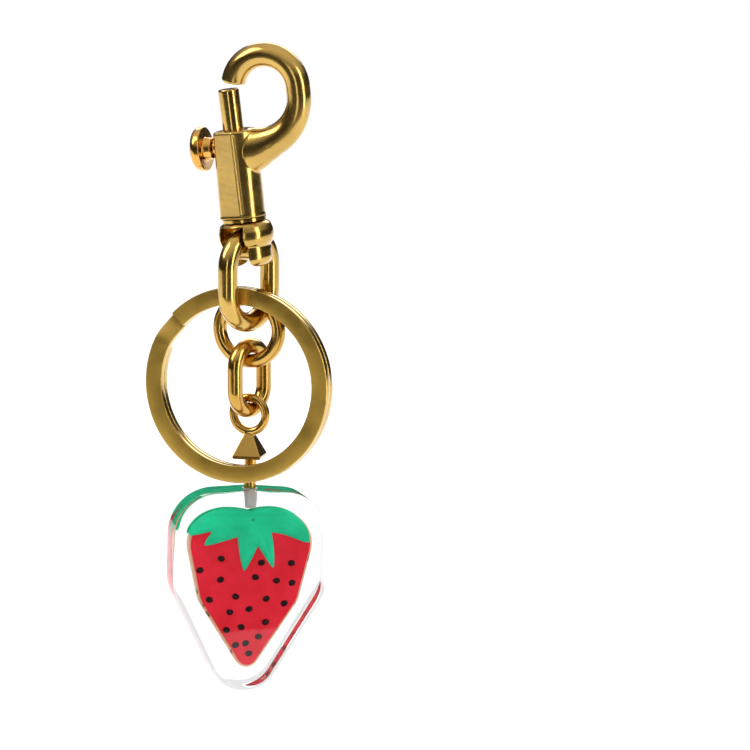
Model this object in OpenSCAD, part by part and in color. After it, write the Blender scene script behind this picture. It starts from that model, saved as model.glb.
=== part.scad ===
// Key chain with a sprung trigger snap, a two-turn split ring and a clear strawberry charm.
// Millimetres, +Z up, hanging as in use. The origin is the inside top of the hook.

/* [Trigger snap] */
// Lean of the snap's bolt line from the vertical, top to the left, degrees
snap_lean = 7.4; // [0:0.1:9]
// Turn of the snap about the vertical, right side nearer, degrees
snap_yaw = 20; // [10:1:25]
// Diameter of the hook's round section
hook_d = 4; // [3.6:0.1:4.4]
// Radius of the hook's top bend, to the middle of its section
hook_top_r = 5.6; // [5.2:0.1:6]
// Radius of the hook's lower bend, to the middle of its section
hook_arm_r = 7.3; // [6.9:0.1:7.6]
// Diameter of the sliding bolt
bolt_d = 3.4; // [3:0.1:3.6]
// Travel of the bolt from closed to open
bolt_travel = 4.8; // [3:0.1:4.8]
// Radius of the barrel's round side
barrel_r = 3.45; // [3.3:0.05:3.8]
// Diameter of the thumb knob
knob_d = 7.2; // [6:0.1:8]

/* [Swivel] */
// Diameter of the swivel's head
swivel_d = 9; // [8.6:0.1:9.6]
// Turn of the swivel and the large link about the vertical, degrees
link_yaw = 50; // [46:1:54]

/* [Links] */
// Wire diameter of the large link
large_wire = 3.2; // [3:0.1:3.4]
// Width of the large link
large_w = 13.6; // [13.2:0.1:14]
// Height of the large link
large_h = 17.4; // [17:0.1:18]
// Wire diameter of the round link
round_wire = 2.3; // [2:0.1:2.4]
// Outer diameter of the round link
round_od = 12.6; // [12:0.1:13]
// Wire diameter of the small link
small_wire = 2.5; // [2.2:0.1:2.6]
// Width of the small link
small_w = 9.6; // [9:0.1:10]
// Height of the small link
small_h = 13.1; // [12.8:0.1:13.6]

/* [Split ring] */
// Outer diameter of the split ring
ring_od = 32; // [31.6:0.1:32.4]
// Width of the ring's flat face
ring_band = 2.8; // [2.4:0.1:2.8]
// Thickness of each of the ring's two turns
ring_turn = 1.25; // [1:0.05:1.3]
// Turn of the ring about the vertical, right side nearer, degrees
ring_yaw = 22; // [18:1:24]
// Lean of the ring, bottom nearer, degrees
ring_lean = 3; // [2:0.5:5]

/* [Charm] */
// Width of the clear body
charm_w = 25; // [24:0.5:27]
// Thickness of the clear body
charm_t = 8; // [7:0.5:10]
// Turn of the charm about the vertical, left side nearer, degrees
charm_yaw = 12; // [8:1:16]
// Lean of the clear body, bottom to the left, degrees
charm_lean = 2; // [0:0.5:3]
// Thickness of the strawberry insert
insert_t = 5; // [4.5:0.5:5]

/* [Hidden] */
$fn = 48;
run_fit = 0.05;

// Snap, in its own upright frame: x across, z along the bolt line.
bolt_x = -6.2;
bolt_top = -2.9;
bolt_bottom = -14.6;
bore_d = bolt_d + 2 * run_fit;
barrel_top = -9.9;
barrel_bottom = -24.2;
floor_t = 1.3;
hook_c = [0.25, -3.7];
hook_arm_z = -4.9;
hook_nose_angle = 158;
hook_root_angle = 72;
hook_right = hook_c[0] + hook_top_r;
hook_lap = 0.1;
stem_d = 2.2;
stem_z = -12.2;
slot_w = stem_d + 0.4;
knob_x = -11.3;
shank_d = 2;
washer_t = 0.42;
washer_z = barrel_bottom + floor_t + 0.04;
spring_wire = 0.4;
spring_turns = 6;
spring_bottom = washer_z + washer_t + spring_wire / 2 + 0.02;
spring_top = bolt_bottom - spring_wire / 2 - 0.02;

// Swivel, on the same bolt line.
thrust_t = 0.5;
thrust_z = barrel_bottom - run_fit - thrust_t;
swivel_top = thrust_z - 0.02;
bar_z = -30.05;
bar_d = 2.3;
eye_slot_w = large_wire + 1.7;
eye_slot_h = bar_d / 2 + large_wire + 0.3;

// Height of the large link's bearing point on the swivel's bar, in the common frame.
bar_h = -30.6;
bar_pos = [-2.14, 0.78, bar_h];

// Hanging positions of the rest, in the common frame.
large_top = bar_h + bar_d / 2 + large_wire + 0.05;
large_mid = large_top - large_h / 2;
ring_c = [-3.76, -0.74, -52.05];
ring_split = 137;
joggle_arc = 18;
chain_x = -2.1;
chain_y = 2.1;
round_top = -37.2;
round_mid = round_top - round_od / 2;
small_top = round_top - round_od + round_wire + 0.12 + small_wire;
small_mid = small_top - small_h / 2;
eye_od = 7;
eye_wire = 1.4;
eye_yaw = -20;
eye_top = small_top - small_h + small_wire + 0.1 + eye_wire;
eye_mid = eye_top - eye_od / 2;
cap_top = -60.6;
cap_base = -64.6;
cap_r = 3.3;
neck_d = 2;

// Charm.
body_top = -69.6;
body_bottom = -102.3;
body_half = charm_t / 2;
edge_r = 1.5;
pin_d = 1.3;
pin_bottom = -72.4;
channel_top_r = 1.3;
channel_low_r = 0.85;
channel_h = body_top - pin_bottom + 0.3;
channel_slope = (channel_top_r - channel_low_r) / channel_h;
insert_half = insert_t / 2;
core_t = 2.4;
leaf_t = 0.5;
seed_d = 1.1;
seed_proud = 0.1;
seed_deep = 0.3;
bond = 0.02;
// Inset and depth of each step of the space round the insert's front half.
insert_steps = [[-0.05, 1.8], [0.1, 2], [0.35, 2.26], [0.7, 2.32], [1.2, 2.5]];
slice_t = 0.04;

brass = [0.72, 0.56, 0.22];

module at_snap() rotate([0, 0, -snap_yaw]) rotate([0, -snap_lean, 0]) children();
module at_swivel() at_snap() translate([bolt_x, 0, 0]) rotate([0, 0, link_yaw + snap_yaw]) children();
module at_chain(yaw, z) translate([chain_x, chain_y, z]) rotate([0, 0, yaw]) children();
// The charm's frame: its pin on the Z axis, leaning about the top of the clear body.
module at_charm() translate([chain_x, chain_y, body_top]) rotate([0, charm_lean, 0])
    rotate([0, 0, charm_yaw]) translate([0, 0, -body_top]) children();
// Stands a shape drawn in the XY plane up in the XZ plane.
module upright() rotate([90, 0, 0]) children();

module bend(r, wire, from, sweep) upright() rotate([0, 0, from])
    rotate_extrude(angle = sweep, $fn = 96) translate([r, 0]) circle(d = wire, $fn = 32);

// A long oval link of round wire, centred on the origin in the XZ plane.
module oval_link(w, h, wire) {
    r = (w - wire) / 2;
    straight = h - w;
    translate([0, 0, straight / 2]) bend(r, wire, 0, 180);
    translate([0, 0, -straight / 2]) bend(r, wire, 180, 180);
    for (x = [-r, r]) translate([x, 0, -straight / 2]) cylinder(d = wire, h = straight, $fn = 32);
}

module hook() {
    translate([hook_c[0], 0, hook_c[1]]) bend(hook_top_r, hook_d, 0, hook_nose_angle);
    translate([hook_right, 0, hook_arm_z - hook_lap])
        cylinder(d = hook_d + 0.02, h = hook_c[1] - hook_arm_z + 2 * hook_lap, $fn = 32);
    translate([hook_right - hook_arm_r, 0, hook_arm_z])
        bend(hook_arm_r, hook_d, -hook_root_angle, hook_root_angle);
}

module barrel_section() {
    circle(r = barrel_r);
    polygon([[0, -3.62], [-2.9, -2.3], [-3.4, -1.5], [-3.4, 1.5], [-2.9, 2.3], [0, 3.62]]);
}

module root_gusset() hull() {
    translate([3.4, 0, -10.7]) sphere(d = 4.1, $fn = 32);
    translate([-3.4, 0, -12.6]) sphere(d = 5.2, $fn = 32);
    translate([-3.7, 0, -15.2]) sphere(d = 4.4, $fn = 32);
}

module snap_body() color(brass) at_snap() difference() {
    union() {
        hook();
        root_gusset();
        translate([bolt_x, 0, barrel_bottom]) linear_extrude(barrel_top - barrel_bottom) barrel_section();
    }
    translate([bolt_x, 0, barrel_bottom + floor_t])
        cylinder(d = bore_d, h = barrel_top - barrel_bottom - floor_t + 1);
    translate([bolt_x, 0, barrel_bottom - 1]) cylinder(d = shank_d + 2 * run_fit, h = floor_t + 2);
    translate([bolt_x - 5, 0, stem_z]) rotate([0, 90, 0]) cylinder(d = slot_w, h = 5);
    translate([bolt_x - 5, 0, stem_z - bolt_travel]) rotate([0, 90, 0]) cylinder(d = slot_w, h = 5);
    translate([bolt_x - 5, -slot_w / 2, stem_z - bolt_travel]) cube([5, slot_w, bolt_travel]);
}

module bolt() color(brass) at_snap() translate([bolt_x, 0, 0]) difference() {
    union() {
        translate([0, 0, bolt_bottom]) cylinder(d = bolt_d, h = bolt_top - bolt_bottom - 0.3);
        translate([0, 0, bolt_top - 0.3]) cylinder(d1 = bolt_d, d2 = bolt_d - 0.6, h = 0.3);
    }
    translate([-5, 0, stem_z]) rotate([0, 90, 0]) cylinder(d = stem_d + 0.04, h = 4.4);
}

module thumb_knob() color(brass) at_snap() translate([0, 0, stem_z]) rotate([0, -90, 0]) {
    translate([0, 0, -bolt_x + 0.7]) cylinder(d = stem_d, h = -knob_x + bolt_x);
    rotate_extrude() polygon([[0, -knob_x + 2.4], [0, -knob_x - 1.4], [1.8, -knob_x - 1.4],
        [1.8, -knob_x], [knob_d / 2 - 0.2, -knob_x], [knob_d / 2, -knob_x + 0.2],
        [knob_d / 2, -knob_x + 0.9], [3.3, -knob_x + 1.5], [2.5, -knob_x + 2.05], [1.3, -knob_x + 2.35]]);
}

// A round wire wound about the Z axis, as rings of points joined into one skin.
module helix(r, wire, z0, z1, turns, steps = 16, sides = 8) {
    n = turns * steps;
    points = [for (i = [0:n], k = [0:sides - 1])
        let (a = 360 * i / steps, b = 360 * k / sides, rr = r + wire / 2 * cos(b))
        [rr * cos(a), rr * sin(a), z0 + (z1 - z0) * i / n + wire / 2 * sin(b)]];
    skin = [for (i = [0:n - 1], k = [0:sides - 1])
        let (j = (k + 1) % sides) [i * sides + k, i * sides + j, (i + 1) * sides + j, (i + 1) * sides + k]];
    caps = [[for (k = [sides - 1:-1:0]) k], [for (k = [0:sides - 1]) n * sides + k]];
    polyhedron(points, concat(skin, caps));
}

module bolt_spring() color("silver") at_snap() translate([bolt_x, 0, 0])
    helix(bolt_d / 2 - spring_wire / 2 - 0.05, spring_wire, spring_bottom, spring_top, spring_turns);

module retaining_washer() color("silver") at_snap() translate([bolt_x, 0, washer_z]) difference() {
    cylinder(d = bore_d - 0.2, h = washer_t);
    translate([0, 0, -1]) cylinder(d = shank_d + 0.02, h = 3);
}

module thrust_washer() color(brass) at_snap() translate([bolt_x, 0, thrust_z]) difference() {
    cylinder(d = 7.2, h = thrust_t);
    translate([0, 0, -1]) cylinder(d = shank_d + 0.06, h = 3);
}

// Shank, domed head with a slot across it, and the bar that carries the large link.
module swivel_eye() color(brass) at_swivel() {
    head_r = swivel_d / 2;
    shank_top = washer_z + washer_t + 0.5;
    translate([0, 0, swivel_top - 0.5]) cylinder(d = shank_d, h = shank_top - swivel_top + 0.5);
    difference() {
        translate([0, 0, swivel_top]) rotate_extrude() polygon([[0, 0], [head_r - 1.3, 0],
            [head_r - 0.5, -0.5], [head_r, -1.6], [head_r, -4.2], [head_r - 0.5, -5.8],
            [head_r - 1.4, -7], [head_r - 2.2, -7.5], [0, -7.5]]);
        translate([-10, -eye_slot_w / 2, bar_z - 10]) cube([20, eye_slot_w, 10 + eye_slot_h]);
    }
    translate([0, 0, bar_z]) rotate([90, 0, 0]) cylinder(d = bar_d, h = eye_slot_w + 2, center = true);
}

module large_link() color(brass) translate([bar_pos[0], bar_pos[1], large_mid])
    rotate([0, 0, link_yaw]) oval_link(large_w, large_h, large_wire);

// One flat turn of the split ring, lying in the XY plane.
module turn(z, from, sweep) rotate([0, 0, from])
    rotate_extrude(angle = sweep, $fn = 120) translate([ring_od / 2 - ring_band, z]) square([ring_band, ring_turn]);

module joggle_end(z, a) rotate([0, 0, a]) translate([ring_od / 2 - ring_band + 0.02, -0.01, z])
    cube([ring_band - 0.08, 0.02, ring_turn]);

// Two flat turns side by side, joined by one step from the front turn to the rear one.
module split_ring() color(brass) translate(ring_c) rotate([0, 0, -ring_yaw]) rotate([-ring_lean, 0, 0])
    upright() {
        turn(0.05, ring_split + joggle_arc, 360 - joggle_arc - 1);
        turn(-0.05 - ring_turn, ring_split + joggle_arc + 2, 360 - joggle_arc - 2);
        hull() {
            joggle_end(-0.05 - ring_turn, ring_split);
            joggle_end(0.05, ring_split + joggle_arc);
        }
    }

module round_link() color(brass) at_chain(-ring_yaw, round_mid) bend((round_od - round_wire) / 2, round_wire, 0, 360);
module small_link() color(brass) at_chain(link_yaw, small_mid) oval_link(small_w, small_h, small_wire);

// Wire eye, four-sided cap and the neck under it.
module cap_eye() color(brass) {
    at_charm() translate([0, 0, body_top + bond]) cylinder(d = neck_d, h = cap_base - body_top);
    at_chain(eye_yaw, 0) cap();
}

module cap() {
    translate([0, 0, eye_mid]) bend((eye_od - eye_wire) / 2, eye_wire, 0, 360);
    translate([0, 0, cap_base]) rotate([0, 0, 52]) cylinder(r1 = cap_r, r2 = 0.75, h = cap_top - cap_base + 0.4, $fn = 4);
}

module eye_pin() color("silver") at_charm() translate([0, 0, pin_bottom])
    cylinder(d = pin_d, h = body_top - pin_bottom);

// The tapered hole for the pin, carried on past the top of the body by above.
module pin_channel(above = 0) translate([0, 0, pin_bottom - 0.3]) rotate([0, 0, 40])
    cylinder(r1 = channel_low_r, r2 = channel_top_r + above * channel_slope, h = channel_h + above);

module pin_adhesive() color([0.95, 0.9, 0.9, 0.6]) at_charm() difference() {
    pin_channel();
    translate([0, 0, pin_bottom]) cylinder(d = pin_d + 2 * bond, h = 10);
}

// The clear body's outline in the XZ plane, drawn in XY and shrunk by inset.
module body_outline(inset) hull() {
    k = charm_w / 25;
    for (x = [-1, 1]) {
        translate([x * 4.9 * k, body_top - 7.7]) circle(r = 7.6 - inset);
        translate([x * 4.2 * k, body_top - 14.6]) circle(r = 7.9 - inset);
    }
    translate([0, body_top - 10]) circle(r = 10 - inset);
    translate([0, body_bottom + 4.7]) circle(r = 4.7 - inset);
}

// Turns what is drawn for the front into its twin on the rear.
module rear() mirror([0, 1, 0]) children();

// Half of the clear body, its rounded edge in steps, hollowed for the insert and the pin.
module clear_half() difference() {
    for (a = [0, 22.5, 45, 67.5, 90])
        upright() linear_extrude(body_half - edge_r * (1 - sin(a))) body_outline(edge_r * (1 - cos(a)));
    insert_space();
    pin_channel(1);
}

module clear_front() color([0.92, 0.94, 0.95, 0.35]) at_charm() clear_half();
module clear_rear() color([0.92, 0.94, 0.95, 0.35]) at_charm() rear() clear_half();

// The strawberry's outline, drawn in XY and shrunk by inset.
module berry_outline(inset) hull() {
    for (x = [-1, 1]) {
        translate([x * 5.1, -78.6]) circle(r = 5.1 - inset, $fn = 40);
        translate([x * 3.5, -86]) circle(r = 5 - inset, $fn = 40);
    }
    translate([0, -96]) circle(r = 1.9 - inset / 3, $fn = 40);
}

module berry_slice(inset, y) translate([0, y, 0]) upright() linear_extrude(slice_t) berry_outline(inset);

// The domed front half of the berry, moved out of the core by shift.
module berry_dome(shift) translate([0, -shift, 0]) hull() {
    berry_slice(0.1, -core_t / 2 - bond);
    berry_slice(0.6, -core_t / 2 - 0.5);
    berry_slice(2.2, -insert_half + leaf_t + 0.1);
}

// The space in the front half of the clear body that the strawberry fills.
module insert_space() for (step = insert_steps)
    translate([0, 1, 0]) upright() linear_extrude(1 + step[1]) berry_outline(step[0]);

module leaf(a, length, width) rotate([0, 0, a]) hull() {
    circle(r = width * 0.3, $fn = 24);
    translate([length * 0.5, 0]) circle(r = width / 2, $fn = 24);
    translate([length - 0.35, 0]) circle(r = 0.35, $fn = 16);
}

// Five leaves from the middle of the berry's top edge.
module calyx_outline() translate([0, -74]) {
    leaf(-160, 10.4, 3.4);
    leaf(-143, 8.6, 3);
    leaf(-96, 8.6, 3.6);
    leaf(-64, 8.6, 3.2);
    leaf(-27, 10.2, 4);
}

module calyx() intersection() {
    difference() {
        berry_dome(leaf_t);
        berry_dome(bond);
    }
    upright() linear_extrude(20) intersection() {
        calyx_outline();
        berry_outline(0.15);
    }
}

// Seed places on the berry, [x, z], in loose rows that narrow towards its tip.
seed_at = [[-4.9, -80.9], [1.8, -81.6], [6.8, -81.7], [-8.3, -82.8],
           [-4.9, -84.4], [0.9, -84], [4.4, -84.6], [7, -85],
           [-6.6, -87.7], [-2.3, -87.2], [2.8, -87.6], [5.8, -88.4],
           [-3.2, -89.8], [0, -89.3], [2.8, -91.5], [-1.2, -92.3], [-3.6, -92.8],
           [1.7, -93.9], [-0.4, -95], [-2, -95.3], [0.2, -96.7]];

module seed_posts() for (p = seed_at) translate([p[0], -core_t / 2 - 0.1, p[1]])
    rotate([90, 0, 0]) cylinder(d = seed_d, h = insert_half, $fn = 16);

module seeds() difference() {
    intersection() {
        seed_posts();
        berry_dome(seed_proud);
    }
    berry_dome(-seed_deep);
}

module berry_half() difference() {
    berry_dome(0);
    difference() {
        seed_posts();
        berry_dome(-seed_deep);
    }
}

module berry_core() color([0.94, 0.78, 0.66]) at_charm() translate([0, core_t / 2, 0])
    upright() linear_extrude(core_t) berry_outline(0);
module berry_front() color([0.9, 0.12, 0.2]) at_charm() berry_half();
module berry_rear() color([0.9, 0.12, 0.2]) at_charm() rear() berry_half();
module calyx_front() color([0.15, 0.8, 0.55]) at_charm() calyx();
module calyx_rear() color([0.15, 0.8, 0.55]) at_charm() rear() calyx();
module seeds_front() color([0.2, 0.02, 0.05]) at_charm() seeds();
module seeds_rear() color([0.2, 0.02, 0.05]) at_charm() rear() seeds();

snap_body();
bolt();
thumb_knob();
bolt_spring();
retaining_washer();
thrust_washer();
swivel_eye();
large_link();
split_ring();
round_link();
small_link();
cap_eye();
eye_pin();
pin_adhesive();
clear_front();
clear_rear();
berry_core();
berry_front();
berry_rear();
calyx_front();
calyx_rear();
seeds_front();
seeds_rear();
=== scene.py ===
"""Looks of a key chain: a sprung trigger snap, a two-turn split ring and a clear strawberry charm."""
import math

import bmesh
import bpy
import numpy as np
from mathutils import Matrix, Vector, noise


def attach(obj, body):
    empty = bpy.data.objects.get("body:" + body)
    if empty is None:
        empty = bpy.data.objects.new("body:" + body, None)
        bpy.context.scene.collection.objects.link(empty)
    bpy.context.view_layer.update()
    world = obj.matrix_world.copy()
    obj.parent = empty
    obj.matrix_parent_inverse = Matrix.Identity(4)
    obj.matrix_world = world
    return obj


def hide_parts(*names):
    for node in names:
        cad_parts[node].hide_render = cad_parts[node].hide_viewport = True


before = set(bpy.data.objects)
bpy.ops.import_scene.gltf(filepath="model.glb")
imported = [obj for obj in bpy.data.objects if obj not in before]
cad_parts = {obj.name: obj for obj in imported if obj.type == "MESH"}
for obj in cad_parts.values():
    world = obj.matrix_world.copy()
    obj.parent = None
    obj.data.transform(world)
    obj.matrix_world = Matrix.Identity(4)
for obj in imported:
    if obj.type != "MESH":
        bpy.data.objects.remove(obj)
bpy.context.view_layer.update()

# Shapes are worked out in millimetres and put into the frame, in metres, by place().
MM = 0.001


def turn(axis, degrees):
    """A turn about X, Y or Z."""
    return Matrix.Rotation(math.radians(degrees), 4, axis)


def shift(x, y, z):
    return Matrix.Translation((x, y, z))


# ---------------------------------------------------------------- sizes and frames, in millimetres
SNAP_LEAN, SNAP_YAW = 7.4, 20
LINK_YAW, RING_YAW, RING_LEAN = 50, 22, 3
CHARM_YAW, CHARM_LEAN, EYE_YAW = 12, 2, -20

HOOK_R = 2.0
HOOK_TOP = (0.25, -3.7)
HOOK_TOP_R = 5.6
HOOK_NOSE = 165
HOOK_ARM = (-1.45, -4.9)

BOLT_X, BOLT_R = -6.2, 1.7
BOLT_TOP, BOLT_BOTTOM = -3.2, -14.6
BARREL_TOP, BARREL_BOTTOM, BARREL_FLOOR = -9.9, -24.2, 1.3
BORE_R, SHANK_R = 1.75, 1.0
STEM_Z, STEM_R, TRAVEL = -12.6, 1.1, 4.8
KNOB_X, KNOB_R = 11.3, 3.6

SWIVEL_TOP, SWIVEL_BOTTOM, SHANK_TOP = -24.77, -32.27, -21.94
SWIVEL_R, SLOT_W = 4.5, 4.9
BAR_Z, BAR_R = -30.05, 1.15

BAR_POS = (-2.14, 0.78)
LARGE_MID, LARGE_W, LARGE_H, LARGE_WIRE = -34.9, 13.6, 17.4, 3.2
CHAIN = (-2.1, 2.1)
ROUND_MID, ROUND_OD, ROUND_WIRE = -43.5, 12.6, 2.3
SMALL_MID, SMALL_W, SMALL_H, SMALL_WIRE = -51.43, 9.6, 13.1, 2.5

RING_C = (-3.76, -0.74, -52.05)
RING_R, RING_BAND, RING_TURN, RING_GAP = 16, 2.8, 1.25, 0.1
RING_SPLIT, JOGGLE = 137, 18

EYE_MID, EYE_R, EYE_WIRE = -57.48, 2.8, 1.4
CAP_TOP, CAP_BASE, CAP_R, NECK_R = -60.6, -64.6, 3.3, 1.0
BODY_TOP, BODY_BOTTOM, BODY_HALF, EDGE_R = -69.6, -103.0, 4.0, 1.4
CORE_HALF, DOME_H, SEED_R = 1.2, 0.95, 0.57

SNAP = turn("Z", -SNAP_YAW) @ turn("Y", -SNAP_LEAN)
BOLT = SNAP @ shift(BOLT_X, 0, 0)
SWIVEL = BOLT @ turn("Z", LINK_YAW + SNAP_YAW)
RING = shift(*RING_C) @ turn("Z", -RING_YAW) @ turn("X", -RING_LEAN)
CHARM = (shift(*CHAIN, BODY_TOP) @ turn("Y", CHARM_LEAN) @ turn("Z", CHARM_YAW)
         @ shift(0, 0, -BODY_TOP))


def chain(yaw, z):
    """The frame of a chain member: its height and its turn about the upright."""
    return shift(*CHAIN, z) @ turn("Z", yaw)


# ---------------------------------------------------------------- shape tools
def solid(verts, faces):
    """A loose object in millimetres, with its faces turned outwards."""
    mesh = bpy.data.meshes.new("solid")
    mesh.from_pydata([tuple(map(float, v)) for v in verts], [], faces)
    bm = bmesh.new()
    bm.from_mesh(mesh)
    bmesh.ops.recalc_face_normals(bm, faces=bm.faces)
    bm.to_mesh(mesh)
    bm.free()
    obj = bpy.data.objects.new("solid", mesh)
    bpy.context.scene.collection.objects.link(obj)
    return obj


def skin(rows, closed=False):
    """A shape through rows of points of one length: a closed loop, or capped at both ends."""
    count, sides = len(rows), len(rows[0])
    faces = []
    for i in range(count if closed else count - 1):
        j = (i + 1) % count
        for k in range(sides):
            m = (k + 1) % sides
            faces.append((i * sides + k, i * sides + m, j * sides + m, j * sides + k))
    if not closed:
        faces += [tuple(reversed(range(sides))), tuple((count - 1) * sides + k for k in range(sides))]
    return solid([point for row in rows for point in row], faces)


def bake(obj):
    """Applies an object's modifiers to its mesh."""
    evaluated = obj.evaluated_get(bpy.context.evaluated_depsgraph_get())
    mesh = bpy.data.meshes.new_from_object(evaluated)
    obj.modifiers.clear()
    obj.data = mesh
    return obj


def combine(obj, other, operation):
    """Adds or cuts away another solid, which is used up."""
    mod = obj.modifiers.new("combine", "BOOLEAN")
    mod.operation, mod.solver, mod.object = operation, "EXACT", other
    bake(obj)
    bpy.data.objects.remove(other)
    return obj


def moved(obj, matrix):
    obj.data.transform(matrix)
    return obj


def gathered(objs):
    """Several solids in one mesh, overlapping as they lie."""
    bm = bmesh.new()
    for obj in objs:
        bm.from_mesh(obj.data)
        bpy.data.objects.remove(obj)
    mesh = bpy.data.meshes.new("solid")
    bm.to_mesh(mesh)
    bm.free()
    obj = bpy.data.objects.new("solid", mesh)
    bpy.context.scene.collection.objects.link(obj)
    return obj


def fused(objs, voxel, rounds):
    """One skin round several overlapping solids, with its inner corners softened."""
    obj = gathered(objs)
    mod = obj.modifiers.new("remesh", "REMESH")
    mod.mode, mod.voxel_size, mod.use_smooth_shade = "VOXEL", voxel, True
    mod = obj.modifiers.new("smooth", "SMOOTH")
    mod.factor, mod.iterations = 0.5, rounds
    return bake(obj)


def ellipse(a, b, count):
    angles = np.arange(count) * 2 * math.pi / count
    return [(a * math.cos(t), b * math.sin(t)) for t in angles]


def rounded(points, radius, steps=4):
    """A closed outline with its corners rounded."""
    out = []
    for i, corner in enumerate(points):
        p = Vector(corner)
        before, after = Vector(points[i - 1]), Vector(points[(i + 1) % len(points)])
        reach = min(radius, (before - p).length / 2, (after - p).length / 2)
        a = p + (before - p).normalized() * reach
        b = p + (after - p).normalized() * reach
        for k in range(steps + 1):
            t = k / steps
            out.append(tuple(a * (1 - t) ** 2 + p * 2 * t * (1 - t) + b * t * t))
    return out


def sweep(stations, closed=False):
    """A skin through stations of (centre, direction of the in-plane normal in degrees, section)."""
    rows = []
    for centre, angle, section in stations:
        nx, nz = math.cos(math.radians(angle)), math.sin(math.radians(angle))
        rows.append([(centre[0] + a * nx, centre[1] + b, centre[2] + a * nz) for a, b in section])
    return skin(rows, closed)


def lathe(profile, steps):
    """Turns a profile of (radius, height) round the Z axis; it starts and ends on the axis."""
    verts, faces, rows = [], [], []
    for r, z in profile:
        count = 1 if r < 1e-6 else steps
        rows.append(range(len(verts), len(verts) + count))
        for k in range(count):
            t = 2 * math.pi * k / steps
            verts.append((r * math.cos(t), r * math.sin(t), z))
    for a, b in zip(rows, rows[1:]):
        for k in range(steps):
            m = (k + 1) % steps
            ring = [a[k % len(a)], a[m % len(a)], b[m % len(b)], b[k % len(b)]]
            faces.append(tuple(dict.fromkeys(ring)))
    return solid(verts, faces)


def turned(corners, radius):
    """A lathe shape whose profile's corners, apart from those on the axis, are rounded."""
    # Neighbouring corners can round off to one shared point, which is kept once.
    same_point = 1e-4
    per_corner, steps = 5, 96
    inner = rounded(corners, radius, per_corner - 1)[per_corner:-per_corner]
    profile = [corners[0]]
    for point in inner + [corners[-1]]:
        if math.dist(point, profile[-1]) > same_point:
            profile.append(point)
    return lathe(profile, steps)


def box(lo, hi):
    """A plain block between two corners."""
    corners = [(x, y, z) for x in (lo[0], hi[0]) for y in (lo[1], hi[1]) for z in (lo[2], hi[2])]
    faces = [(0, 1, 3, 2), (4, 6, 7, 5), (0, 4, 5, 1), (2, 3, 7, 6), (0, 2, 6, 4), (1, 5, 7, 3)]
    return solid(corners, faces)


def rod(r, length, matrix, steps=64):
    """A plain cylinder along Z from 0 to length, then moved by matrix."""
    return moved(lathe([(0, 0), (r, 0), (r, length), (0, length)], steps), matrix)


def place(obj, name, at, body, material, stands_for=(), sharp=40):
    """Puts a finished shape into the frame, in metres, and makes it ride on its body."""
    obj.data.transform(Matrix.Scale(MM, 4) @ at)
    obj.name = obj.data.name = name
    obj.data.shade_smooth()
    obj.data.set_sharp_from_angle(angle=math.radians(sharp))
    if not obj.data.materials:
        obj.data.materials.append(material)
    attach(obj, body)
    if stands_for:
        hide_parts(*stands_for)
    return obj


# ---------------------------------------------------------------- materials
def fill_ramp(node, stops):
    """Sets the stops of a colour ramp node, each a position and a colour."""
    elements = node.color_ramp.elements
    while len(elements) < len(stops):
        elements.new(0.5)
    for element, (position, colour) in zip(elements, stops):
        element.position = position
        element.color = (*colour, 1)


class Look:
    """A Principled material and short ways to add nodes to it."""

    def __init__(self, name, **values):
        self.material = bpy.data.materials.new(name)
        self.material.use_nodes = True
        self.tree = self.material.node_tree
        self.shader = self.tree.nodes["Principled BSDF"]
        self.coords = self.add("ShaderNodeTexCoord").outputs["Object"]
        for key, value in values.items():
            self.shader.inputs[key.replace("_", " ")].default_value = value

    def add(self, kind, **values):
        node = self.tree.nodes.new(kind)
        for key, value in values.items():
            setattr(node, key, value)
        return node

    def noise(self, scale, detail=3.0, stretch=None):
        node = self.add("ShaderNodeTexNoise")
        node.inputs["Scale"].default_value = scale
        node.inputs["Detail"].default_value = detail
        source = self.coords
        if stretch:
            mapping = self.add("ShaderNodeMapping")
            mapping.inputs["Scale"].default_value = stretch
            self.tree.links.new(source, mapping.inputs["Vector"])
            source = mapping.outputs["Vector"]
        self.tree.links.new(source, node.inputs["Vector"])
        return node.outputs["Fac"]

    def spread(self, source, lo, hi):
        """Maps the middle of a noise's range onto lo to hi."""
        node = self.add("ShaderNodeMapRange")
        for key, value in zip(("From Min", "From Max", "To Min", "To Max"), (0.3, 0.7, lo, hi)):
            node.inputs[key].default_value = value
        self.tree.links.new(source, node.inputs["Value"])
        return node.outputs["Result"]

    def colours(self, source, *stops):
        """A colour for each level of a source."""
        node = self.add("ShaderNodeValToRGB")
        fill_ramp(node, stops)
        self.tree.links.new(source, node.inputs["Fac"])
        return node.outputs["Color"]

    def bump(self, source, strength, distance):
        node = self.add("ShaderNodeBump")
        node.inputs["Strength"].default_value = strength
        node.inputs["Distance"].default_value = distance
        self.tree.links.new(source, node.inputs["Height"])
        self.set("Normal", node.outputs["Normal"])

    def set(self, key, source):
        self.tree.links.new(source, self.shader.inputs[key])


def brass(name, light, dark, polish, rough, grain=0.25):
    """Gold-tone plated metal under a thin clear lacquer."""
    look = Look(name, Metallic=1.0, Coat_Weight=0.6, Coat_Roughness=0.12)
    look.set("Base Color", look.colours(look.noise(90, 4), (0.35, dark), (0.65, light)))
    look.set("Roughness", look.spread(look.noise(260, 5), polish, rough))
    look.bump(look.noise(1400, 4), grain, 0.00004)
    return look.material


def enamel(name, light, dark, scale, rough):
    """Coloured plastic set in the resin, so it has almost no shine of its own."""
    look = Look(name, Specular_IOR_Level=0.12)
    look.set("Base Color", look.colours(look.noise(scale, 4), (0.38, dark), (0.62, light)))
    look.set("Roughness", look.spread(look.noise(scale * 1.7, 3), rough - 0.05, rough + 0.07))
    look.bump(look.noise(scale * 1.3, 4), 0.25, 0.00012)
    return look.material


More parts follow.
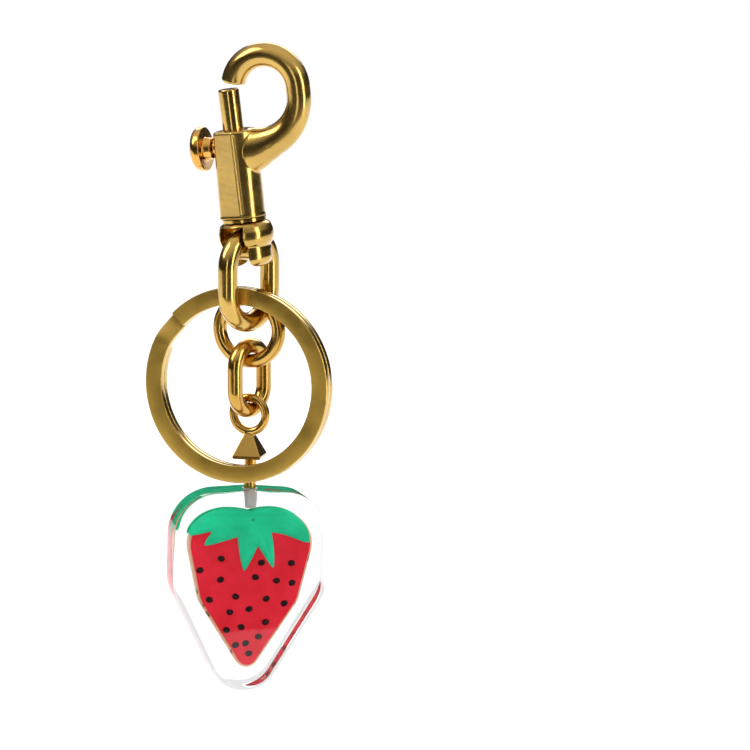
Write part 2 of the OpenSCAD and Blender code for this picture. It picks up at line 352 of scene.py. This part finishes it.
def steel():
    look = Look("drawn_steel", Metallic=1.0)
    look.set("Base Color", look.colours(look.noise(200), (0.4, (0.42, 0.41, 0.40)),
                                        (0.6, (0.6, 0.59, 0.57))))
    look.set("Roughness", look.spread(look.noise(400), 0.2, 0.35))
    return look.material


def clear():
    look = Look("clear_resin", IOR=1.42, Transmission_Weight=1.0)
    look.set("Base Color", look.colours(look.noise(40), (0.4, (0.745, 0.75, 0.752)),
                                        (0.6, (0.765, 0.77, 0.772))))
    look.set("Roughness", look.spread(look.noise(60), 0.0, 0.015))
    return look.material


def cloudy():
    look = Look("cloudy_adhesive", IOR=1.49)
    look.set("Base Color", look.colours(look.noise(900, 5), (0.4, (0.90, 0.76, 0.76)),
                                        (0.6, (0.97, 0.90, 0.90))))
    look.set("Roughness", look.spread(look.noise(700), 0.3, 0.5))
    look.set("Transmission Weight", look.spread(look.noise(500, 4), 0.25, 0.6))
    return look.material


def cream():
    """The pale core, with a few dark marks."""
    look = Look("core_cream", Roughness=0.45, Specular_IOR_Level=0.12)
    marks = look.noise(620, 4, (1, 1, 0.6))
    look.set("Base Color", look.colours(marks, (0.5, (0.86, 0.56, 0.36)), (0.62, (0.80, 0.50, 0.30)),
                                        (0.67, (0.10, 0.045, 0.02))))
    look.bump(look.noise(500), 0.2, 0.0001)
    return look.material


POLISHED = brass("polished_brass", (0.60, 0.385, 0.085), (0.50, 0.31, 0.06), 0.12, 0.22)
CAST = brass("cast_brass", (0.58, 0.37, 0.085), (0.46, 0.285, 0.06), 0.16, 0.26, 0.35)
WIRE = brass("wire_brass", (0.60, 0.35, 0.065), (0.48, 0.265, 0.04), 0.14, 0.24)
SATIN = brass("satin_brass", (0.62, 0.39, 0.075), (0.52, 0.32, 0.055), 0.32, 0.44, 0.5)
KNOB = brass("knob_brass", (0.70, 0.38, 0.07), (0.58, 0.28, 0.04), 0.12, 0.22)
STEEL, CLEAR, CLOUDY, CREAM = steel(), clear(), cloudy(), cream()
RED = enamel("berry_red", (0.98, 0.020, 0.050), (0.86, 0.012, 0.030), 230, 0.35)
GREEN = enamel("leaf_green", (0.016, 0.84, 0.42), (0.012, 0.66, 0.32), 160, 0.3)
SEED = enamel("seed_dark", (0.030, 0.002, 0.004), (0.010, 0.001, 0.002), 500, 0.4)


# ---------------------------------------------------------------- trigger snap
def hook():
    """The hook from its nose over the top and down its arm, which deepens into the barrel."""
    round_section = ellipse(HOOK_R, HOOK_R, 48)
    small = ellipse(HOOK_R - 0.22, HOOK_R - 0.22, 48)
    stations = []

    def on_top(angle, section):
        a = math.radians(angle)
        x, z = HOOK_TOP[0] + HOOK_TOP_R * math.cos(a), HOOK_TOP[1] + HOOK_TOP_R * math.sin(a)
        stations.append(((x, 0, z), angle, section))

    on_top(HOOK_NOSE, small)
    for angle in np.linspace(HOOK_NOSE - 2, 0, 60):
        on_top(angle, round_section)
    bend = [0, 20, 45, 60, 72, 82, 92, 100, 112]
    inner = [5.3, 5.3, 5.15, 5.05, 5.0, 4.97, 4.95, 4.97, 5.2]
    outer = [9.3, 9.3, 9.6, 9.85, 10.1, 10.7, 11.8, 12.7, 13.5]
    depth = [2.0, 2.0, 2.05, 2.15, 2.3, 2.5, 2.7, 2.8, 2.8]
    for angle in np.linspace(0, 112, 50):
        lo, hi, half = (np.interp(angle, bend, row) for row in (inner, outer, depth))
        a = math.radians(-angle)
        mid = (lo + hi) / 2
        centre = (HOOK_ARM[0] + mid * math.cos(a), 0, HOOK_ARM[1] + mid * math.sin(a))
        stations.append((centre, -angle, ellipse((hi - lo) / 2, half, 48)))
    return sweep(stations)


def barrel():
    """Round on the hook's side, faceted on the knob's side, a little wider at its foot."""
    def level(z, left, right, grow):
        arc = [(right * math.cos(t), 3.45 * math.sin(t)) for t in np.linspace(-1.2, 1.2, 30)]
        facets = [(0.9, 3.5), (-0.85 * left, 2.3), (-left, 1.5),
                  (-left, -1.5), (-0.85 * left, -2.3), (0.9, -3.5)]
        return [(BOLT_X + x * grow, y * grow, z) for x, y in arc + facets]

    lip = 0.4
    rows = [level(BARREL_TOP, 3.0, 3.7, 0.94), level(BARREL_TOP - 0.25, 3.0, 3.75, 1.0)]
    for t in np.linspace(0.05, 1, 12):
        z = BARREL_TOP + t * (BARREL_BOTTOM + lip - BARREL_TOP)
        rows.append(level(z, 3.0 + 0.6 * t, 3.8 - 0.3 * t, 1.0))
    rows.append(level(BARREL_BOTTOM + lip - 0.1, 3.6, 3.5, 1.025))
    rows.append(level(BARREL_BOTTOM + 0.1, 3.6, 3.5, 1.025))
    rows.append(level(BARREL_BOTTOM, 3.6, 3.5, 1.0))
    return skin(rows)


def snap_cuts():
    """The bolt's bore, the shank's hole, the slot for the knob's stem and the groove down the front."""
    slot_r = STEM_R + 0.2
    bore_foot = BARREL_BOTTOM + BARREL_FLOOR
    bore = rod(BORE_R, BARREL_TOP + 1 - bore_foot, shift(BOLT_X, 0, bore_foot))
    hole = rod(SHANK_R + 0.05, 4, shift(BOLT_X, 0, BARREL_BOTTOM - 1))
    side = turn("Y", 90)
    upper = rod(slot_r, 5, shift(BOLT_X - 5, 0, STEM_Z) @ side)
    lower = rod(slot_r, 5, shift(BOLT_X - 5, 0, STEM_Z - TRAVEL) @ side)
    middle = box((BOLT_X - 5, -slot_r, STEM_Z - TRAVEL), (BOLT_X, slot_r, STEM_Z))
    groove = box((BOLT_X + 0.9, -4.2, BARREL_BOTTOM + 0.8), (BOLT_X + 1.2, -3.15, BARREL_TOP - 0.5))
    return [bore, hole, upper, lower, middle, groove]


def snap_casting():
    obj = combine(barrel(), hook(), "UNION")
    for tool in snap_cuts():
        combine(obj, tool, "DIFFERENCE")
    obj = fused([obj], 0.11, 9)
    place(obj, "snap_casting", SNAP, "snap", CAST, ["snap_body"])


def snap_bolt():
    ease = 0.25
    obj = turned([(0, BOLT_TOP), (BOLT_R - 0.1, BOLT_TOP), (BOLT_R, BOLT_TOP - ease),
                  (BOLT_R, BOLT_BOTTOM), (0, BOLT_BOTTOM)], 0.15)
    place(obj, "sliding_bolt", BOLT, "bolt", POLISHED, ["bolt"])


def snap_knob():
    face, rim, crown = KNOB_X, KNOB_X + 0.95, KNOB_X + 2.4
    stem_end = 0.7 - BOLT_X
    obj = turned([(0, crown), (1.5, crown - 0.08), (2.7, crown - 0.55), (3.35, rim + 0.55), (KNOB_R, rim),
                  (KNOB_R, face + 0.1), (KNOB_R - 0.15, face), (1.85, face), (1.75, face - 1.35),
                  (STEM_R, face - 1.45), (STEM_R, stem_end), (0, stem_end)], 0.25)
    place(obj, "knob", SNAP @ shift(0, 0, STEM_Z) @ turn("Y", -90), "bolt", KNOB,
          ["thumb_knob"])


# ---------------------------------------------------------------- swivel and links
def swivel():
    # Radius and fall below the top: a ball, a waist and a collar round the bar.
    steps = [(3.2, 0), (4.1, 0.5), (SWIVEL_R, 1.7), (SWIVEL_R, 2.7), (4.2, 3.7), (3.75, 4.1), (3.85, 4.6),
             (3.85, 6.3), (3.4, 7.1), (2.6, SWIVEL_TOP - SWIVEL_BOTTOM)]
    side = [(r, SWIVEL_TOP - fall) for r, fall in steps]
    head = turned([(0, SWIVEL_TOP)] + side + [(0, SWIVEL_BOTTOM)], 0.4)
    slot_top = BAR_Z + BAR_R + LARGE_WIRE + 0.3
    combine(head, box((-10, -SLOT_W / 2, BAR_Z - 10), (10, SLOT_W / 2, slot_top)), "DIFFERENCE")
    bar = rod(BAR_R, SLOT_W + 2, shift(0, SLOT_W / 2 + 1, BAR_Z) @ turn("X", 90))
    shank = rod(SHANK_R, SHANK_TOP - SWIVEL_TOP + 0.3, shift(0, 0, SWIVEL_TOP - 0.3))
    head = fused([head, bar, shank], 0.09, 2)
    place(head, "swivel", SWIVEL, "swivel", POLISHED, ["swivel_eye"])


def wire_link(width, height, wire):
    """An oval link of round wire in the XZ plane, centred on the origin."""
    arc = 72
    r = (width - wire) / 2
    rise = (height - width) / 2
    section = ellipse(wire / 2, wire / 2, 36)
    stations = []
    for base, sign in ((0, 1), (180, -1)):
        for angle in np.linspace(base, base + 180, arc, endpoint=rise > 0):
            a = math.radians(angle)
            stations.append(((r * math.cos(a), 0, r * math.sin(a) + sign * rise), angle, section))
    return sweep(stations, closed=True)


def links():
    large = wire_link(LARGE_W, LARGE_H, LARGE_WIRE)
    place(large, "oval_link_large", shift(*BAR_POS, LARGE_MID) @ turn("Z", LINK_YAW), "large_link",
          POLISHED, ["large_link"])
    ring = wire_link(ROUND_OD, ROUND_OD, ROUND_WIRE)
    place(ring, "link_round", chain(-RING_YAW, ROUND_MID), "round_link", WIRE,
          ["round_link"])
    small = wire_link(SMALL_W, SMALL_H, SMALL_WIRE)
    place(small, "oval_link_small", chain(LINK_YAW, SMALL_MID), "small_link", WIRE,
          ["small_link"])


def split_ring():
    """Flat wire wound twice, stepping from the front turn to the rear one at the joggle."""
    half_band, half_turn = RING_BAND / 2, RING_TURN / 2
    side = half_turn + RING_GAP / 2
    flat = rounded([(-half_band, -half_turn), (half_band, -half_turn), (half_band, half_turn),
                    (-half_band, half_turn)], 0.2, 3)
    start, end = RING_SPLIT + 359, RING_SPLIT + JOGGLE + 2 - 360
    stations = []
    for angle in np.linspace(start, end, 360):
        step = np.clip((angle - RING_SPLIT) / JOGGLE, 0, 1)
        smooth = step * step * (3 - 2 * step)
        y = side - 2 * side * smooth
        a = math.radians(angle)
        r = RING_R - half_band
        stations.append(((r * math.cos(a), y, r * math.sin(a)), angle, flat))
    ring = sweep(stations)
    ring.data.materials.append(POLISHED)
    ring.data.materials.append(SATIN)
    for polygon in ring.data.polygons:
        polygon.material_index = 1 if abs(polygon.normal.y) > 0.8 else 0
    place(ring, "ring_split", RING, "split_ring", SATIN, ["split_ring"], 25)


# ---------------------------------------------------------------- charm
def cap():
    """The wire eye and the four-sided cap below it."""
    eye = moved(wire_link(2 * EYE_R + EYE_WIRE, 2 * EYE_R + EYE_WIRE, EYE_WIRE), shift(0, 0, EYE_MID))
    base_z, thick = CAP_BASE, 0.5
    corners = [(math.cos(t), math.sin(t)) for t in np.radians([52, 142, 232, 322])]
    levels = [(CAP_R - 0.25, base_z), (CAP_R, base_z + 0.1), (CAP_R, base_z + thick), (0.75, CAP_TOP + 0.4)]
    return [eye, skin([[(x * r, y * r, z) for x, y in corners] for r, z in levels])]


def cap_piece():
    obj = gathered([moved(part, chain(EYE_YAW, 0)) for part in cap()])
    neck = rod(NECK_R, CAP_BASE - BODY_TOP + 0.2, CHARM @ shift(0, 0, BODY_TOP + 0.02))
    obj = fused([obj, neck], 0.08, 2)
    place(obj, "cap_and_eye", Matrix.Identity(4), "charm", WIRE, ["cap_eye"], 60)


def hull_outline(circles, inset, count):
    """Evenly spaced points, as (x, z), round the hull of some circles that are shrunk by inset."""
    ways = np.linspace(0, 2 * math.pi, 1440, endpoint=False)
    normals = np.stack([np.cos(ways), np.sin(ways)], 1)
    centres = np.array([c[:2] for c in circles], float)
    radii = np.array([c[2] for c in circles], float) - inset
    furthest = np.argmax(normals @ centres.T + radii, 1)
    points = centres[furthest] + radii[furthest][:, None] * normals
    steps = np.linalg.norm(np.roll(points, -1, 0) - points, axis=1)
    along = np.concatenate([[0], np.cumsum(steps)])
    looped = np.vstack([points, points[:1]])
    wanted = np.linspace(0, along[-1], count, endpoint=False)
    return np.stack([np.interp(wanted, along, looped[:, k]) for k in (0, 1)], 1)


BODY_CIRCLES = [(-5.3, BODY_TOP - 7.9, 7.6), (5.3, BODY_TOP - 7.9, 7.6), (-4.8, BODY_TOP - 14.6, 8.0),
                (4.8, BODY_TOP - 14.6, 8.0), (0, BODY_TOP - 10, 10), (-0.5, BODY_BOTTOM + 5.9, 5.9)]
BERRY_CIRCLES = [(-5.1, -78.6, 5.1), (5.1, -78.6, 5.1), (-3.5, -86, 5), (3.5, -86, 5),
                 (0, -97.1, 1.9)]
BERRY_MID = np.array([0, -83.5])
BERRY_EDGE = hull_outline(BERRY_CIRCLES, 0, 360)
SEED_AT = [(-4.9, -80.9), (1.8, -81.6), (6.8, -81.7), (-8.3, -82.8),
           (-4.9, -84.4), (0.9, -84), (4.4, -84.6), (7, -85),
           (-6.6, -87.7), (-2.3, -87.2), (2.8, -87.6), (5.8, -88.4),
           (-3.2, -89.8), (0, -89.3), (2.8, -91.5), (-1.2, -92.3), (-3.6, -92.8),
           (1.7, -93.9), (-0.4, -95), (-2, -95.3), (0.2, -96.7)]


def at_depth(points, y):
    """Points, as (x, z), stood up at one depth."""
    return np.stack([points[:, 0], np.full(len(points), y), points[:, 1]], 1)


def clear_body():
    """The clear block, with its front and rear edges rounded."""
    rows = []
    for side in (-1, 1):
        arc = [(EDGE_R * (1 - math.cos(a)), BODY_HALF - EDGE_R * (1 - math.sin(a)))
               for a in np.linspace(0, math.pi / 2, 12)]
        arc.append((EDGE_R + 0.25, BODY_HALF))
        ordered = reversed(arc) if side < 0 else arc
        rows += [at_depth(hull_outline(BODY_CIRCLES, inset, 220), side * y) for inset, y in ordered]
    obj = skin(rows)
    place(obj, "clear_body", CHARM, "charm", CLEAR, ["clear_front", "clear_rear"], 60)


def inset_of(points):
    """How far points, as (x, z), lie inside the berry's edge."""
    a, b = BERRY_EDGE, np.roll(BERRY_EDGE, -1, 0)
    seg = b - a
    rel = points[:, None, :] - a[None]
    t = np.clip((rel * seg).sum(2) / (seg * seg).sum(1), 0, 1)
    gap = np.linalg.norm(rel - t[..., None] * seg, axis=2).min(1)
    cross = seg[None, :, 0] * rel[..., 1] - seg[None, :, 1] * rel[..., 0]
    return np.where((cross > -1e-9).all(1), gap, -gap)


def dome_rise(points):
    """How far the berry's red face stands above the core, with a dimple round each seed."""
    inside = np.clip(inset_of(points) / 2.8, 0, 1)
    rise = DOME_H * (1 - (1 - inside) ** 2.3) ** (1 / 2.0)
    for x, z in SEED_AT:
        gap = np.hypot(points[:, 0] - x, points[:, 1] - z)
        rise = rise - 0.16 * np.exp(-(gap / 0.62) ** 2)
    return rise


def berry_face(side):
    """The red dome on one face of the core."""
    rings, count = 56, 240
    edge = hull_outline(BERRY_CIRCLES, 0.3, count)
    rows = [at_depth(edge, side * (CORE_HALF + 0.02))]
    for t in np.linspace(0, 1, rings)[:-1]:
        points = BERRY_MID + (edge - BERRY_MID) * (1 - t ** 1.25)
        ripple = [0.03 * noise.noise(Vector((x * 1.1, z * 1.1, side))) for x, z in points]
        rise = np.maximum(dome_rise(points) + np.array(ripple) * min(1, 6 * t), 0.03)
        rows.append(np.stack([points[:, 0], side * (CORE_HALF + rise), points[:, 1]], 1))
    return skin(rows)


def leaf(side, start, control, tip, width, blunt, thick):
    """A leaf that lies on the berry's face along a curve, thickest beside its midrib."""
    start, control, tip = (np.array(p, float) for p in (start, control, tip))
    along, across = 34, 15
    top, under = [], []
    for u in np.linspace(0, 1, along):
        middle = start * (1 - u) ** 2 + control * 2 * u * (1 - u) + tip * u * u
        way = (control - start) * (1 - u) + (tip - control) * u
        way = way / np.linalg.norm(way)
        normal = np.array([-way[1], way[0]])
        half = width / 2 * max((1 - u ** blunt), 0.0) ** 0.75 + 0.06
        spread = np.linspace(-1, 1, across)
        points = middle + normal * (spread * half)[:, None]
        body = (1 - spread ** 2) ** 0.5 * (1 - 0.3 * np.exp(-(spread / 0.16) ** 2))
        fade = min(1, 0.35 + 2.2 * (1 - u))
        rise = np.maximum(dome_rise(points), 0)
        top.append(np.stack([points[:, 0], side * (CORE_HALF + rise + 0.05 + thick * body * fade),
                             points[:, 1]], 1))
        under.append(np.stack([points[:, 0], side * (CORE_HALF + rise - 0.15), points[:, 1]], 1))
    rows = [np.vstack([t, u[::-1]]) for t, u in zip(top, under)]
    return skin(rows)


# Start, control point and tip of each leaf, then its width, bluntness and thickness.
LEAVES = [((-0.2, -75.0), (-6.2, -73.2), (-10.3, -77.0), 3.4, 3.5, 0.6),
          ((-0.4, -75.4), (-4.6, -76.0), (-7.7, -78.6), 2.9, 3.0, 0.32),
          ((0.1, -74.6), (-0.5, -78.0), (-1.0, -82.9), 5.0, 1.25, 0.5),
          ((0.8, -75.0), (2.4, -77.8), (3.8, -82.4), 3.7, 1.4, 0.32),
          ((0.4, -75.0), (6.2, -73.4), (9.7, -78.3), 3.9, 4.0, 0.6)]


def seed(side, x, z, tilt):
    """A low oval seed that follows the slope of the berry's face."""
    verts, faces = [], []
    rows, count = 9, 20
    here = np.array([[x, z], [x + 0.5, z], [x, z + 0.5]])
    level = dome_rise(here)
    slope = (np.clip(level[1] - level[0], -0.3, 0.3), np.clip(level[2] - level[0], -0.3, 0.3))
    for i in range(rows):
        b = math.pi * i / (rows - 1)
        for k in range(count):
            a = 2 * math.pi * k / count
            u, v = 1.12 * SEED_R * math.sin(b) * math.cos(a), 0.92 * SEED_R * math.sin(b) * math.sin(a)
            px = u * math.cos(tilt) - v * math.sin(tilt)
            pz = u * math.sin(tilt) + v * math.cos(tilt)
            rise = level[0] + 0.06 + 0.2 * math.cos(b) + 0.5 * (slope[0] * px + slope[1] * pz)
            verts.append((x + px, side * (CORE_HALF + rise), z + pz))
    for i in range(rows - 1):
        for k in range(count):
            m = (k + 1) % count
            faces.append((i * count + k, i * count + m, (i + 1) * count + m, (i + 1) * count + k))
    obj = solid(verts, faces)
    bm = bmesh.new()
    bm.from_mesh(obj.data)
    bmesh.ops.remove_doubles(bm, verts=bm.verts, dist=1e-4)
    bmesh.ops.recalc_face_normals(bm, faces=bm.faces)
    bm.to_mesh(obj.data)
    bm.free()
    return obj


def strawberry():
    """The core plate, and a dome, leaves and seeds on each of its faces."""
    rim = 0.25
    core = skin([at_depth(hull_outline(BERRY_CIRCLES, inset, 240), y)
                    for inset, y in ((rim - 0.1, -CORE_HALF), (-0.1, rim - CORE_HALF),
                                     (-0.1, CORE_HALF - rim), (rim - 0.1, CORE_HALF))])
    place(core, "insert_core", CHARM, "charm", CREAM, ["berry_core"])
    for side, word in ((-1, "front"), (1, "rear")):
        place(berry_face(side), "insert_berry_" + word, CHARM, "charm", RED,
              ["berry_" + word], 60)
        leaves = fused([leaf(side, *row) for row in LEAVES], 0.085, 1)
        place(leaves, "insert_leaves_" + word, CHARM, "charm", GREEN,
              ["calyx_" + word], 70)
        seeds = gathered([seed(side, x, z, 0.35 * math.sin(7 * x + 3 * z)) for x, z in SEED_AT])
        place(seeds, "insert_seeds_" + word, CHARM, "charm", SEED,
              ["seeds_" + word], 60)


# ---------------------------------------------------------------- kept CAD nodes, camera and light
def finish_kept_nodes():
    """Gives the CAD nodes that show as they are their materials."""
    looks = {"bolt_spring": STEEL, "retaining_washer": STEEL, "thrust_washer": POLISHED,
             "eye_pin": STEEL, "pin_adhesive": CLOUDY}
    for node, material in looks.items():
        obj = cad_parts[node]
        if not obj.material_slots:
            obj.data.materials.append(material)
        for holder in obj.material_slots:
            holder.material = material


def camera():
    data = bpy.data.cameras.new("camera")
    data.lens, data.sensor_width = 400, 36
    cam = bpy.data.objects.new("camera", data)
    bpy.context.scene.collection.objects.link(cam)
    target = Vector((0.01835, 0, -0.0506))
    distance, elevation = 1.354, math.radians(10)
    cam.location = target + distance * Vector((0, -math.cos(elevation), math.sin(elevation)))
    cam.rotation_euler = (target - cam.location).to_track_quat("-Z", "Y").to_euler()
    bpy.context.scene.camera = cam


def floor():
    z, half, front, back = -0.16, 1.3, -0.28, 1.8
    mesh = bpy.data.meshes.new("floor")
    corners = [(-half, front, z), (half, front, z), (half, back, z), (-half, back, z)]
    mesh.from_pydata(corners, [], [(0, 1, 2, 3)])
    obj = bpy.data.objects.new("floor", mesh)
    bpy.context.scene.collection.objects.link(obj)
    look = Look("pale_floor", Roughness=0.9)
    look.set("Base Color", look.colours(look.noise(3), (0.3, (0.955, 0.955, 0.955)),
                                        (0.7, (0.965, 0.965, 0.965))))
    mesh.materials.append(look.material)


def softbox(name, location, size, radiance):
    """A rectangular lamp that faces the middle of the key chain."""
    data = bpy.data.lights.new(name, "AREA")
    data.shape, data.size, data.size_y = "RECTANGLE", size[0], size[1]
    data.energy = radiance * math.pi * size[0] * size[1]
    light = bpy.data.objects.new(name, data)
    light.location = location
    facing = Vector((0, 0, -0.05)) - Vector(location)
    light.rotation_euler = facing.to_track_quat("-Z", "Y").to_euler()
    light.visible_camera = False
    bpy.context.scene.collection.objects.link(light)


# Brightness of the surroundings that the metal mirrors, from straight down (0) to straight up (1).
MIRRORED_LEVELS = [(0.0, 0.5), (0.40, 0.12), (0.50, 0.03), (0.64, 0.05), (0.76, 0.5), (1.0, 1.0)]


def surroundings():
    """An even white world, which mirroring surfaces see as bands of light and dark."""
    world = bpy.data.worlds.new("studio")
    bpy.context.scene.world = world
    world.use_nodes = True
    tree = world.node_tree
    coords = tree.nodes.new("ShaderNodeTexCoord")
    split = tree.nodes.new("ShaderNodeSeparateXYZ")
    spread = tree.nodes.new("ShaderNodeMapRange")
    spread.inputs["From Min"].default_value = -1
    ramp = tree.nodes.new("ShaderNodeValToRGB")
    fill_ramp(ramp, [(position, (level, level * 0.97, level * 0.92)) for position, level in MIRRORED_LEVELS])
    path = tree.nodes.new("ShaderNodeLightPath")
    mirrored = tree.nodes.new("ShaderNodeMath")
    mirrored.operation, mirrored.use_clamp = "SUBTRACT", True
    mix = tree.nodes.new("ShaderNodeMix")
    mix.data_type = "RGBA"
    factor, even, banded = mix.inputs[0], mix.inputs[6], mix.inputs[7]
    even.default_value = (1.05, 1.05, 1.05, 1)
    tree.links.new(coords.outputs["Generated"], split.inputs[0])
    tree.links.new(split.outputs["Z"], spread.inputs["Value"])
    tree.links.new(spread.outputs["Result"], ramp.inputs["Fac"])
    tree.links.new(path.outputs["Is Glossy Ray"], mirrored.inputs[0])
    tree.links.new(path.outputs["Is Transmission Ray"], mirrored.inputs[1])
    tree.links.new(mirrored.outputs[0], factor)
    tree.links.new(ramp.outputs["Color"], banded)
    tree.links.new(mix.outputs[2], tree.nodes["Background"].inputs["Color"])


def light():
    surroundings()
    softbox("key", (-0.5, -0.1, 0.42), (0.3, 0.4), 5.0)
    softbox("side", (0.45, -0.35, 0.08), (0.14, 0.6), 5.0)
    softbox("front", (-0.15, -0.75, 0.0), (0.1, 0.5), 2.5)
    softbox("back", (0.1, 0.6, 0.3), (0.6, 0.3), 2.5)
    bpy.context.scene.view_settings.view_transform = "Standard"


snap_casting()
snap_bolt()
snap_knob()
swivel()
links()
split_ring()
cap_piece()
clear_body()
strawberry()
finish_kept_nodes()
camera()
floor()
light()
